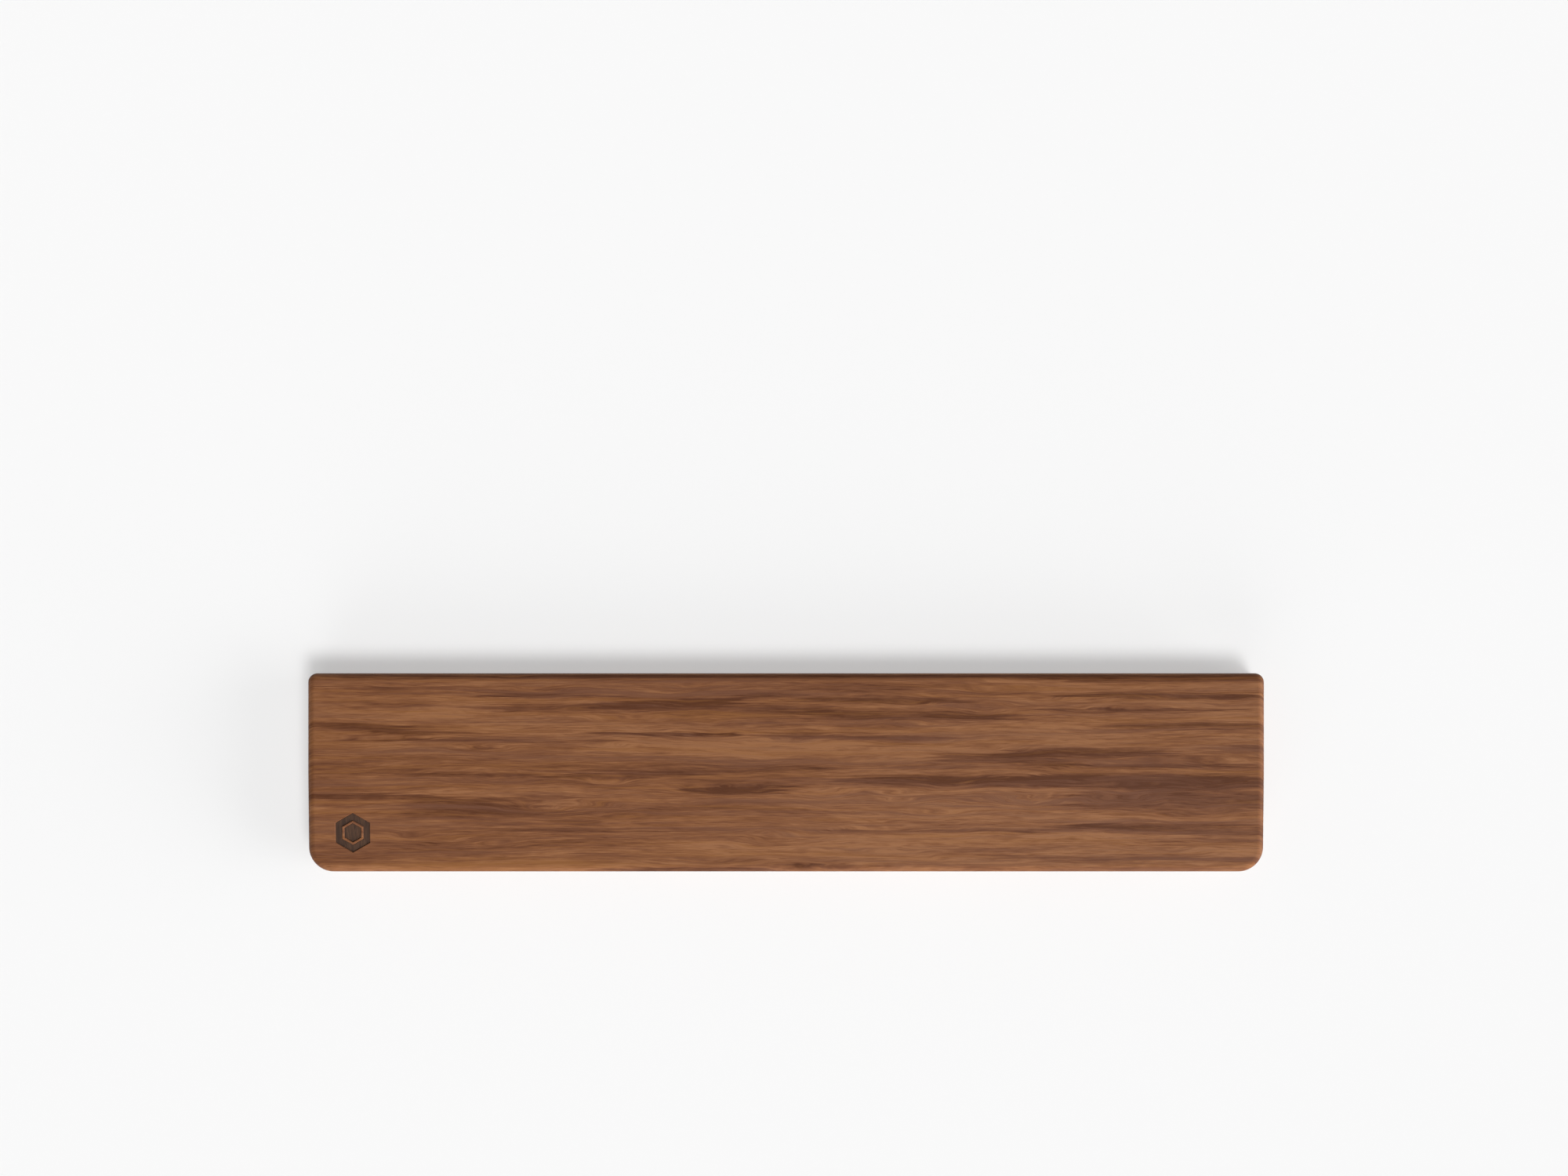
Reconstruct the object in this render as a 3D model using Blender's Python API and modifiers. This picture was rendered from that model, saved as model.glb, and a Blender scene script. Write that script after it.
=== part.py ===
"""Wooden wrist rest: a solid walnut block with a two-part dark inlay and six rubber feet.

Units are metres, +Z is up. The origin is on the desk under the middle of the plan:
X runs along the length, +Y points to the keyboard side and -Y to the user.
"""

import math

import bmesh
import bpy

# ---------------------------------------------------------------- driving dimensions
KEY_PITCH = 0.01905                     # standard spacing of keyboard keys
LENGTH = 20 * KEY_PITCH                 # X, the width of the keyboard it sits in front of
DEPTH = 0.0793                          # Y
HEIGHT = 0.019                          # Z, desk to the flat back part of the top
GAP = 0.0003                            # clearance between neighbouring pieces

# block outline and edges
FRONT_CORNER_R = 0.0099
BACK_CORNER_R = 0.0036
TOP_EDGE_R = 0.0032
BOTTOM_EDGE_R = 0.0010
CORNER_STEPS = 8
TOP_EDGE_STEPS = 5
BOTTOM_EDGE_STEPS = 2
BACK_LEAN = math.radians(3)             # the back face runs inwards towards the desk

# top surface: flat behind SLOPE_START_Y, then a short blend into a plane that falls to the front
SLOPE_START_Y = 0.0026
SLOPE_BLEND = 0.010
SLOPE = 0.047
BLEND_STEPS = 6

# rubber feet and the adhesive discs above them
FOOT_DIAMETER = 0.0120
FOOT_PROUD = 0.0010                     # how far a foot stands out of the block
FOOT_RECESS_DEPTH = 0.0015
FOOT_EDGE_R = 0.0004
FOOT_EDGE_STEPS = 3
ADHESIVE_THICKNESS = 0.0002
ADHESIVE_DIAMETER = 0.0108
FOOT_INSET_X = 0.0170                   # outer feet, from the ends of the block
FOOT_INSET_Y = 0.0140                   # both rows, from the front and back faces
ROUND_STEPS = 40

# mark near the left front corner: a hexagonal ring around a hexagonal core
MARK_FROM_LEFT = 0.0181
MARK_FROM_FRONT = 0.0159
MARK_RADIUS = 0.0079                    # centre to a point of the hexagon
MARK_BAND = 0.0026                      # width of the ring's pocket
MARK_RIDGE = 0.0009                     # walnut left standing between ring and core
MARK_POCKET_DEPTH = 0.0020
MARK_SUNK = 0.0005                      # how far the inlay lies below the surface around it
HEX = 6

# ---------------------------------------------------------------- derived dimensions
HALF_LENGTH = LENGTH / 2
HALF_DEPTH = DEPTH / 2
BLOCK_BOTTOM = FOOT_PROUD
RECESS_DIAMETER = FOOT_DIAMETER + 2 * GAP
RECESS_TOP = BLOCK_BOTTOM + FOOT_RECESS_DEPTH
ADHESIVE_TOP = RECESS_TOP - GAP
FOOT_TOP = ADHESIVE_TOP - ADHESIVE_THICKNESS - GAP
MARK_X = MARK_FROM_LEFT - HALF_LENGTH
MARK_Y = MARK_FROM_FRONT - HALF_DEPTH
MARK_APOTHEM = MARK_RADIUS * math.cos(math.pi / HEX)
CORE_APOTHEM = MARK_APOTHEM - MARK_BAND - MARK_RIDGE
SLOPE_TILT = math.atan(SLOPE)
# the rounded top edge ends flush with HALF_DEPTH, so the sharp edge before it stands a little proud
BACK_HEAD_OUT = TOP_EDGE_R * (1 - math.tan(math.pi / 4 - BACK_LEAN / 2))
BACK_FOOT_IN = (HEIGHT - BLOCK_BOTTOM) * math.tan(BACK_LEAN) - BACK_HEAD_OUT

OBJECT_NAME = "wrist_rest"
CUTTER_COLLECTION = "wrist_rest_cutters"

# colour (linear RGB), roughness, metallic
FINISHES = {
    "walnut": ((0.212, 0.089, 0.044), 0.55, 0.0),
    "dark_inlay_wood": ((0.065, 0.032, 0.019), 0.65, 0.0),
    "foot_rubber": ((0.018, 0.018, 0.019), 0.85, 0.0),
    "adhesive": ((0.62, 0.60, 0.55), 0.60, 0.0),
}


def top_drop(y):
    """How far the top surface lies below HEIGHT at this y."""
    ahead = SLOPE_START_Y - y
    if ahead <= 0:
        return 0.0
    if ahead < SLOPE_BLEND:
        return SLOPE * ahead * ahead / (2 * SLOPE_BLEND)
    return SLOPE * (ahead - SLOPE_BLEND / 2)


# ---------------------------------------------------------------- scene and materials
def clear_scene():
    for obj in list(bpy.data.objects):
        bpy.data.objects.remove(obj, do_unlink=True)


def new_collection(name):
    collection = bpy.data.collections.new(name)
    bpy.context.scene.collection.children.link(collection)
    return collection


def make_material(name):
    colour, roughness, metallic = FINISHES[name]
    material = bpy.data.materials.new(name)
    material.use_nodes = True
    shader = material.node_tree.nodes["Principled BSDF"]
    shader.inputs["Base Color"].default_value = (*colour, 1.0)
    shader.inputs["Roughness"].default_value = roughness
    shader.inputs["Metallic"].default_value = metallic
    material.diffuse_color = (*colour, 1.0)
    return material


def place(obj, name, collection, material=None):
    """Name the object, move it to its collection and give it its material."""
    obj.name = name
    obj.data.name = name
    for old in list(obj.users_collection):
        old.objects.unlink(obj)
    collection.objects.link(obj)
    if material is not None:
        obj.data.materials.append(material)
    return obj


def mark_as_cutter(obj):
    obj.hide_render = True
    obj.display_type = "WIRE"
    return obj


def smooth_round_faces(obj):
    obj.data.shade_smooth()
    obj.data.set_sharp_from_angle(angle=math.radians(40))


def cut(target, cutter):
    boolean = target.modifiers.new("cut_" + cutter.name, "BOOLEAN")
    boolean.operation = "DIFFERENCE"
    boolean.solver = "EXACT"
    boolean.object = cutter


# ---------------------------------------------------------------- walnut block
def edges_where(mesh, test):
    return [edge for edge in mesh.edges if test(*(vert.co for vert in edge.verts))]


def is_vertical(a, b):
    return math.hypot(a.x - b.x, a.y - b.y) < 1e-6


def round_vertical_edges(mesh, test, radius):
    edges = edges_where(mesh, lambda a, b: is_vertical(a, b) and test(a))
    bmesh.ops.bevel(
        mesh, geom=edges, offset=radius, offset_type="OFFSET", segments=CORNER_STEPS,
        profile=0.5, affect="EDGES",
    )


def lean_back_face(mesh):
    """Move the head of the back face and its rounded corners out, and the foot in."""
    for vert in mesh.verts:
        if vert.co.y > HALF_DEPTH - BACK_CORNER_R - 1e-6:
            vert.co.y += BACK_HEAD_OUT if vert.co.z > HEIGHT / 2 else -BACK_FOOT_IN


def shape_top(mesh):
    """Add edge loops across the blend, then lower the top to its sloping surface."""
    for step in range(BLEND_STEPS + 1):
        station = SLOPE_START_Y - SLOPE_BLEND * step / BLEND_STEPS
        bmesh.ops.bisect_plane(
            mesh, geom=mesh.verts[:] + mesh.edges[:] + mesh.faces[:],
            plane_co=(0, station, 0), plane_no=(0, 1, 0),
        )
    for vert in mesh.verts:
        if vert.co.z > HEIGHT / 2:
            vert.co.z = HEIGHT - top_drop(vert.co.y)


def weight_rim(mesh, layer_name, is_rim_face):
    """Give full bevel weight to the edges around the faces that the test accepts."""
    layer = mesh.edges.layers.float.new(layer_name)
    for edge in mesh.edges:
        sides = [is_rim_face(face) for face in edge.link_faces]
        edge[layer] = 1.0 if any(sides) and not all(sides) else 0.0


def add_weighted_bevel(obj, layer_name, radius, steps):
    bevel = obj.modifiers.new(layer_name, "BEVEL")
    bevel.limit_method = "WEIGHT"
    bevel.edge_weight = layer_name
    bevel.width = radius
    bevel.segments = steps
    bevel.profile = 0.5


def make_block(collection, material):
    bpy.ops.mesh.primitive_cube_add(size=1.0)
    block = place(bpy.context.object, "wood_block", collection, material)
    mesh = bmesh.new()
    mesh.from_mesh(block.data)
    size = (LENGTH, DEPTH, HEIGHT - BLOCK_BOTTOM)
    bmesh.ops.scale(mesh, vec=size, verts=mesh.verts)
    middle = (0, 0, (HEIGHT + BLOCK_BOTTOM) / 2)
    bmesh.ops.translate(mesh, vec=middle, verts=mesh.verts)
    round_vertical_edges(mesh, lambda point: point.y < 0, FRONT_CORNER_R)
    round_vertical_edges(mesh, lambda point: point.y > HALF_DEPTH - 1e-6, BACK_CORNER_R)
    lean_back_face(mesh)
    shape_top(mesh)
    mesh.normal_update()
    weight_rim(mesh, "top_edge", lambda face: face.normal.z > 0.9)
    weight_rim(mesh, "bottom_edge", lambda face: face.normal.z < -0.9)
    mesh.to_mesh(block.data)
    mesh.free()
    add_weighted_bevel(block, "top_edge", TOP_EDGE_R, TOP_EDGE_STEPS)
    add_weighted_bevel(block, "bottom_edge", BOTTOM_EDGE_R, BOTTOM_EDGE_STEPS)
    smooth_round_faces(block)
    return block


# ---------------------------------------------------------------- mark: pockets and inlays
def mark_surface_z():
    return HEIGHT - top_drop(MARK_Y)


def put_on_slope(obj, below):
    """Lay the object parallel to the sloping top, this far below its surface."""
    obj.rotation_euler = (SLOPE_TILT, 0, 0)
    obj.location = (
        MARK_X,
        MARK_Y + below * math.sin(SLOPE_TILT),
        mark_surface_z() - below * math.cos(SLOPE_TILT),
    )


def hexagon_prism(apothem, height, open_ends):
    """Upright hexagonal prism with a point towards +Y, its top face at z = 0."""
    mesh = bmesh.new()
    radius = apothem / math.cos(math.pi / HEX)
    bmesh.ops.create_cone(
        mesh, cap_ends=not open_ends, cap_tris=False, segments=HEX,
        radius1=radius, radius2=radius, depth=height,
    )
    bmesh.ops.translate(mesh, vec=(0, 0, -height / 2), verts=mesh.verts)
    data = bpy.data.meshes.new("hexagon")
    mesh.to_mesh(data)
    mesh.free()
    return bpy.data.objects.new("hexagon", data)


def hexagon_ring(outer_apothem, band, height):
    """The open prism is the ring's outer wall; Solidify grows it inwards into a band."""
    ring = hexagon_prism(outer_apothem, height, open_ends=True)
    solidify = ring.modifiers.new("band", "SOLIDIFY")
    solidify.thickness = band
    solidify.offset = -1.0
    solidify.use_even_offset = True
    return ring


def make_mark(block, collection, cutters, material):
    pocket_height = MARK_POCKET_DEPTH * 2
    ring_pocket = hexagon_ring(MARK_APOTHEM, MARK_BAND, pocket_height)
    core_pocket = hexagon_prism(CORE_APOTHEM, pocket_height, open_ends=False)
    for pocket, name in ((ring_pocket, "ring_pocket"), (core_pocket, "core_pocket")):
        place(pocket, name, cutters)
        mark_as_cutter(pocket)
        put_on_slope(pocket, MARK_POCKET_DEPTH - pocket_height)
        cut(block, pocket)

    inlay_height = MARK_POCKET_DEPTH - MARK_SUNK - GAP
    ring = hexagon_ring(MARK_APOTHEM - GAP, MARK_BAND - 2 * GAP, inlay_height)
    core = hexagon_prism(CORE_APOTHEM - GAP, inlay_height, open_ends=False)
    for inlay, name in ((ring, "mark_inlay_ring"), (core, "mark_inlay_core")):
        place(inlay, name, collection, material)
        put_on_slope(inlay, MARK_SUNK)


# ---------------------------------------------------------------- feet and adhesive discs
def turned(profile, name):
    """Turn an open profile, listed from the top centre down to the bottom centre."""
    data = bpy.data.meshes.new(name)
    edges = [(i, i + 1) for i in range(len(profile) - 1)]
    data.from_pydata([(radius, 0, z) for radius, z in profile], edges, [])
    obj = bpy.data.objects.new(name, data)
    screw = obj.modifiers.new("turn", "SCREW")
    screw.steps = ROUND_STEPS
    screw.render_steps = ROUND_STEPS
    screw.use_merge_vertices = True
    screw.merge_threshold = 0.00001
    screw.use_smooth_shade = True
    return obj


def foot_profile():
    """Flat top, straight side, rounded lower edge and a flat sole on the desk."""
    radius = FOOT_DIAMETER / 2
    sole_edge = radius - FOOT_EDGE_R
    points = [(0, FOOT_TOP), (radius, FOOT_TOP)]
    for step in range(FOOT_EDGE_STEPS + 1):
        angle = math.pi / 2 * step / FOOT_EDGE_STEPS
        points.append((
            sole_edge + FOOT_EDGE_R * math.cos(angle),
            FOOT_EDGE_R * (1 - math.sin(angle)),
        ))
    points.append((0, 0))
    return points


def foot_places():
    """Two rows of three feet, numbered from the front left."""
    across = HALF_LENGTH - FOOT_INSET_X
    along = HALF_DEPTH - FOOT_INSET_Y
    return [(x, y) for y in (-along, along) for x in (-across, 0, across)]


def add_cylinder(name, diameter, height, base):
    bpy.ops.mesh.primitive_cylinder_add(
        vertices=ROUND_STEPS, radius=diameter / 2, depth=height,
        location=(base[0], base[1], base[2] + height / 2),
    )
    bpy.context.object.name = name
    return bpy.context.object


def make_feet(block, collection, cutters, materials):
    for number, (x, y) in enumerate(foot_places(), start=1):
        recess = add_cylinder("recess", RECESS_DIAMETER, 2 * FOOT_RECESS_DEPTH,
                              (x, y, RECESS_TOP - 2 * FOOT_RECESS_DEPTH))
        place(recess, f"foot_recess_{number}", cutters)
        mark_as_cutter(recess)
        cut(block, recess)

        foot = turned(foot_profile(), "foot")
        place(foot, f"foot_{number}", collection, materials["foot_rubber"])
        foot.location = (x, y, 0)

        disc = add_cylinder("disc", ADHESIVE_DIAMETER, ADHESIVE_THICKNESS,
                            (x, y, ADHESIVE_TOP - ADHESIVE_THICKNESS))
        place(disc, f"foot_adhesive_{number}", collection, materials["adhesive"])


def main():
    clear_scene()
    collection = new_collection(OBJECT_NAME)
    cutters = new_collection(CUTTER_COLLECTION)
    materials = {name: make_material(name) for name in FINISHES}
    block = make_block(collection, materials["walnut"])
    make_mark(block, collection, cutters, materials["dark_inlay_wood"])
    make_feet(block, collection, cutters, materials)


main()
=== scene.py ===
"""Looks of the wooden wrist rest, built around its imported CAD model.

Units are metres in the CAD model's frame: X along the rest, +Y to the keyboard side, +Z up.
"""

import math
from collections import namedtuple

import bmesh
import bpy
from mathutils import Matrix, Vector


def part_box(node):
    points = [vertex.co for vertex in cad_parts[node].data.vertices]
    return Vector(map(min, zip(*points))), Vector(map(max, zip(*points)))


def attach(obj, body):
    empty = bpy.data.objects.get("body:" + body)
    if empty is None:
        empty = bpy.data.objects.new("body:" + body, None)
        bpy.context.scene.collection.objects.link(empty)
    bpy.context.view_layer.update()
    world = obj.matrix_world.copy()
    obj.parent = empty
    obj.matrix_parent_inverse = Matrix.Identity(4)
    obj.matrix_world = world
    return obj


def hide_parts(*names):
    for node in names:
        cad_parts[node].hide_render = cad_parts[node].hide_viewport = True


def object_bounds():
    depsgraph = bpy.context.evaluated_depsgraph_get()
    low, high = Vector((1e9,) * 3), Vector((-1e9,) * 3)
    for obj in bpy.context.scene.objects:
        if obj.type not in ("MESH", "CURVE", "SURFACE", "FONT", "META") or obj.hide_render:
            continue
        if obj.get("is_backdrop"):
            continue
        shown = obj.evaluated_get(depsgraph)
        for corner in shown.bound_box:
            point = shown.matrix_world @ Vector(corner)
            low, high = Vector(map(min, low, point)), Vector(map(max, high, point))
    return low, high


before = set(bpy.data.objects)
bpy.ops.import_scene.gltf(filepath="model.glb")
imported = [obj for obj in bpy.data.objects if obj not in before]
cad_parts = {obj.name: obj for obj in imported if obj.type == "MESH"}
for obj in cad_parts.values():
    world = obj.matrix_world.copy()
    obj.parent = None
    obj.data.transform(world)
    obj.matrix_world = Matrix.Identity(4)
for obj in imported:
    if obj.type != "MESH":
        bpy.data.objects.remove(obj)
CAD_LOW, CAD_HIGH = (corner.copy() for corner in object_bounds())

# ---------------------------------------------------------------- places read from the frame
BLOCK_LOW, BLOCK_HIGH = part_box("wood_block")
RING_LOW, RING_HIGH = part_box("mark_inlay_ring")
FOOT_NAMES = sorted(
    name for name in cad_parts
    if name.startswith("foot_") and not name.startswith("foot_adhesive_")
)
TOP = BLOCK_HIGH.z
BOTTOM = BLOCK_LOW.z
HALF_LENGTH = BLOCK_HIGH.x
HALF_DEPTH = -BLOCK_LOW.y

# ---------------------------------------------------------------- shape of the block
FRONT_CORNER_R = 0.0099
FRONT_CORNER_STEPS = 24
BACK_CORNER_R = 0.0036
BACK_CORNER_STEPS = 12
TOP_EDGE_R = 0.0032
TOP_EDGE_STEPS = 12
BOTTOM_EDGE_R = 0.0010
BOTTOM_EDGE_STEPS = 5
BACK_LEAN = math.radians(3)             # the back face runs inwards towards the desk
SLOPE_START_Y = 0.0026                  # the top is flat behind this line
SLOPE_BLEND = 0.010                     # length of the curve into the sloping plane
SLOPE_BLEND_STEPS = 16
SLOPE = 0.047
SLOPE_TILT = math.atan(SLOPE)
TOUCHING = 0.000001                     # points closer than this count as one place
INSIDE_BOX = 0.00001                    # how far the back stays inside the CAD block's
RIM_FACING = 0.9                        # how level a face is that counts as top or bottom
SMOOTH_UP_TO = math.radians(30)         # edges flatter than this are shaded smooth

# the rounded top edge ends flush with HALF_DEPTH, so before the rounding it stands out a little
BACK_HEAD_OUT = TOP_EDGE_R * (1 - math.tan(math.pi / 4 - BACK_LEAN / 2)) - INSIDE_BOX
BACK_FOOT_IN = (TOP - BOTTOM) * math.tan(BACK_LEAN) - BACK_HEAD_OUT

# mark: hexagonal ring and core, sunk into pockets
HEX = 6
POCKET_CLEARANCE = 0.0003               # between the CAD inlay and its pocket
MARK_X = (RING_LOW.x + RING_HIGH.x) / 2
MARK_Y = (RING_LOW.y + RING_HIGH.y) / 2
MARK_RADIUS = (RING_HIGH.y - RING_LOW.y) / 2 + POCKET_CLEARANCE
MARK_BAND = 0.0026
MARK_RIDGE = 0.0009
MARK_APOTHEM = MARK_RADIUS * math.cos(math.pi / HEX)
CORE_APOTHEM = MARK_APOTHEM - MARK_BAND - MARK_RIDGE
MARK_POCKET_DEPTH = 0.0020
MARK_SUNK = 0.0005
POCKET_RIM = 0.00018                    # eased upper edge of a pocket
INLAY_FIT = 0.00004                     # hairline between the fitted inlay and its pocket
INLAY_EASE = 0.00012                    # eased upper edges of the inlays
INLAY_BED = 0.00005                     # glue line under the inlays
INLAY_SMOOTH_UP_TO = math.radians(20)
CUTTER_OVER = 0.001                     # how far a cutter stands out of the surface

# feet
FOOT_RECESS_DEPTH = 0.0015
RECESS_CLEARANCE = 0.0003
RECESS_RIM = 0.0003                     # chamfer round the mouth of a recess
FOOT_TAPER = 0.00012                    # how much narrower the sole is
FOOT_LIP_R = 0.00025
FOOT_LIP_END = -20                      # degrees: the lip curls slightly under
FOOT_LIP_STEPS = 6
FOOT_EDGE_R = 0.00045
FOOT_EDGE_STEPS = 8
FOOT_GROOVES = (0.0042, 0.0026)         # radii of the two rings moulded into the sole
FOOT_GROOVE_WIDTH = 0.00022
FOOT_GROOVE_DEPTH = 0.00020
FOOT_GATE_R = 0.0007                    # moulding gate in the middle of the sole
FOOT_GATE_FLOOR_R = 0.00056
FOOT_GATE_NIB_DEPTH = 0.00012           # the gate's floor rises to a nib
FOOT_SMOOTH_UP_TO = math.radians(40)
FILM_RIM_STEPS = 8
ROUND_STEPS = 96
TURN_MERGE = 0.000005


def top_drop(y):
    """How far the top surface lies below TOP at this y."""
    ahead = SLOPE_START_Y - y
    if ahead <= 0:
        return 0.0
    if ahead < SLOPE_BLEND:
        return SLOPE * ahead * ahead / (2 * SLOPE_BLEND)
    return SLOPE * (ahead - SLOPE_BLEND / 2)


# ---------------------------------------------------------------- node wiring
MM_PER_M = 1000.0

# A noise layer of a wood: its cell size in millimetres in x, y and z, how many finer octaves it
# has, how strong those are, and the amount of the whole.
Layer = namedtuple("Layer", "x y z detail roughness amount")


class Wires:
    """Adds nodes to a node tree. Each value may be a number, a tuple or another node's output."""

    def __init__(self, tree):
        self.tree = tree

    def feed(self, socket, value):
        if isinstance(value, bpy.types.NodeSocket):
            self.tree.links.new(value, socket)
        else:
            socket.default_value = value

    def add(self, kind, inputs=(), **settings):
        node = self.tree.nodes.new(kind)
        for name, value in settings.items():
            setattr(node, name, value)
        for key, value in dict(inputs).items():
            self.feed(node.inputs[key], value)
        return node

    def math(self, operation, *values, clamp=False):
        node = self.add("ShaderNodeMath", operation=operation, use_clamp=clamp)
        for socket, value in zip(node.inputs, values):
            self.feed(socket, value)
        return node.outputs[0]

    def plus(self, a, b):
        return self.math("ADD", a, b)

    def minus(self, a, b):
        return self.math("SUBTRACT", a, b)

    def times(self, a, b):
        return self.math("MULTIPLY", a, b)

    def total(self, first, *others):
        for other in others:
            first = self.plus(first, other)
        return first

    def fit(self, value, low, high, to_low=0.0, to_high=1.0):
        """Smooth step from to_low where the value is low, to to_high where it is high."""
        node = self.add("ShaderNodeMapRange", {
            "Value": value, "From Min": low, "From Max": high, "To Min": to_low, "To Max": to_high,
        }, interpolation_type="SMOOTHSTEP")
        return node.outputs["Result"]

    def point(self, x, y, z):
        return self.add("ShaderNodeCombineXYZ", {"X": x, "Y": y, "Z": z}).outputs[0]

    def scaled(self, vector, factor):
        node = self.add("ShaderNodeVectorMath", {0: vector, "Scale": factor}, operation="SCALE")
        return node.outputs[0]

    def split(self, vector):
        node = self.add("ShaderNodeSeparateXYZ", {"Vector": vector})
        return node.outputs["X"], node.outputs["Y"], node.outputs["Z"]

    def noise(self, point, detail=0.0, roughness=0.5):
        """Noise of one cell per unit of the point's coordinates, centred on zero."""
        node = self.add("ShaderNodeTexNoise", {
            "Vector": point, "Scale": 1.0, "Detail": detail, "Roughness": roughness,
        })
        return self.minus(node.outputs[0], 0.5)

    def place_in_mm(self):
        """Position in the CAD frame, in millimetres."""
        return self.scaled(self.add("ShaderNodeTexCoord").outputs["Object"], MM_PER_M)

    def specks(self, place, per_mm, detail=0.0, roughness=0.5):
        """Noise that is the same in all directions, with this many cells per millimetre."""
        return self.noise(self.scaled(place, per_mm), detail, roughness)

    def grain(self, layer, x, y, z):
        """One noise layer of a wood, centred on zero."""
        point = self.point(
            self.times(x, 1 / layer.x), self.times(y, 1 / layer.y), self.times(z, 1 / layer.z)
        )
        return self.times(self.noise(point, layer.detail, layer.roughness), layer.amount)

    def ramp(self, value, stops):
        node = self.add("ShaderNodeValToRGB", {"Fac": value})
        ramp = node.color_ramp
        while len(ramp.elements) > 1:
            ramp.elements.remove(ramp.elements[-1])
        for index, (position, colour) in enumerate(stops):
            element = ramp.elements[0] if index == 0 else ramp.elements.new(position)
            element.position = position
            element.color = (*colour, 1.0)
        return node.outputs["Color"]

    def mix(self, amount, a, b):
        node = self.add("ShaderNodeMix", data_type="RGBA")     # colours: inputs 6, 7, output 2
        self.feed(node.inputs["Factor"], amount)
        self.feed(node.inputs[6], (*a, 1.0) if isinstance(a, tuple) else a)
        self.feed(node.inputs[7], (*b, 1.0) if isinstance(b, tuple) else b)
        return node.outputs[2]

    def bump(self, height, distance, strength):
        node = self.add("ShaderNodeBump", {
            "Height": height, "Distance": distance, "Strength": strength,
        })
        return node.outputs["Normal"]


def new_material(name):
    """An empty Principled material, its wires and its shader node."""
    material = bpy.data.materials.new(name)
    material.use_nodes = True
    wires = Wires(material.node_tree)
    return material, wires, material.node_tree.nodes["Principled BSDF"]


def srgb(red, green, blue):
    """Linear colour from display values of 0 to 255."""
    def linear(value):
        value = value / 255
        return value / 12.92 if value <= 0.04045 else ((value + 0.055) / 1.055) ** 2.4
    return linear(red), linear(green), linear(blue)


def paint(obj, material):
    obj.data.materials.clear()
    obj.data.materials.append(material)


# ---------------------------------------------------------------- walnut, lengths in millimetres
PITH_Y = 200.0                          # centre of the growth rings, behind and below the block
PITH_Z = -150.0

BASE_TONE = 0.70                        # light wood between the streaks, on the scale of TONES
TONES = [
    (0.0, srgb(90, 56, 40)),
    (0.2, srgb(104, 67, 48)),
    (0.43, srgb(118, 77, 54)),
    (0.63, srgb(131, 87, 60)),
    (0.755, srgb(138, 93, 64)),
    (0.9, srgb(146, 100, 69)),
    (1.0, srgb(154, 107, 74)),
]

RED_WOOD = srgb(116, 79, 62)            # two hues that the colour drifts to
YELLOW_WOOD = srgb(141, 94, 56)
HAZE = 0.010                            # how much the oil film's reflection lightens the top

# where the fibres lie; x is along the grain, y across it
SWAY = Layer(120, 16, 40, 1.0, 0.5, 5.0)            # slow waves of all fibres
RIPPLE = Layer(60, 7, 20, 1.0, 0.5, 1.0)
SWIRL = Layer(36, 4.0, 12, 1.0, 0.5, 5.6)           # stronger waves, only where it is restless
RESTLESS = Layer(55, 9, 30, 0.0, 0.5, 1.0)
RESTLESS_RANGE = (-0.08, 0.15)
CURL = Layer(9, 3.0, 9, 0.0, 0.5, 1.2)              # unrest inside the eyes

# what the fibres look like
FIBRES = Layer(150, 8.5, 30, 5.0, 0.92, 1.0)        # 8 mm bands down to hairlines
HAIRS = Layer(12, 0.50, 2.0, 2.0, 0.85, 1.0)
MOTTLE = Layer(34, 2.4, 6, 3.0, 0.85, 0.9)
BANDS = Layer(190, 15, 40, 1.0, 0.5, 0.50)
DRIFT = Layer(160, 3.2, 25, 5.0, 0.8, 1.0)          # of the hue
RED_DRIFT = (-0.05, 0.20, 0.0, 0.8)
YELLOW_DRIFT = (-0.22, 0.0, 0.75, 0.0)
PORES = Layer(5.0, 0.24, 0.5, 0.0, 0.5, 1.0)        # short dark dashes
PORE_RANGE = (0.17, 0.30)
FIBRE_CONTRAST = 2.5
PORE_DARKNESS = 0.16

# how the fibres break up the streaks
RAGGED = Layer(70, 0.9, 20, 0.0, 0.5, 34.0)         # their ends
FEATHER = Layer(48, 0.62, 9, 2.0, 0.7, 4.2)         # their flanks
SMOKE = Layer(13, 3.6, 12, 3.0, 0.62, 1.9)          # their inside, in slanting clouds
SMOKE_SLANT = 0.05
STREAK_RIPPLE = 0.55                    # share of the ripple and of the eyes' lift they follow
STREAK_LIFT = 0.3
STREAK_GAIN = 1.66
STREAK_FIBRES = 2.6
STREAK_LEAST = 0.1
STREAK_FLANK_POWER = 4.0
STREAK_END_WIDTH = 0.05
STREAK_END_FADE = 2.0
STREAK_FADE_BLEND = 0.3

# end grain: darker, with rings and dots
END_FACING = (0.62, 0.98)
END_RINGS = Layer(4, 1 / 0.85, 20, 3.0, 0.7, 0.7)
END_PORES = Layer(1 / 0.6, 1 / 2.6, 1 / 2.6, 0.0, 0.5, 1.0)
END_PORE_RANGE = (0.13, 0.24)
END_PORE_DARKNESS = 0.22
END_DARKNESS = 0.24

# sheen of the oil
WALNUT_SPECULAR = 0.09
WALNUT_SHEEN = 0.14
WALNUT_SHEEN_ROUGHNESS = 0.30
WALNUT_ROUGHNESS = 0.52
FIBRE_SHINE = 0.25
HAIR_SHINE = 0.10
PORE_MATTNESS = 0.12
END_MATTNESS = 0.08
FIBRE_RELIEF = 0.5
WALNUT_RELIEF = 0.00003                 # metres
WALNUT_RELIEF_STRENGTH = 0.8


def without_haze(colour):
    return tuple(value - HAZE for value in colour)


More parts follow.
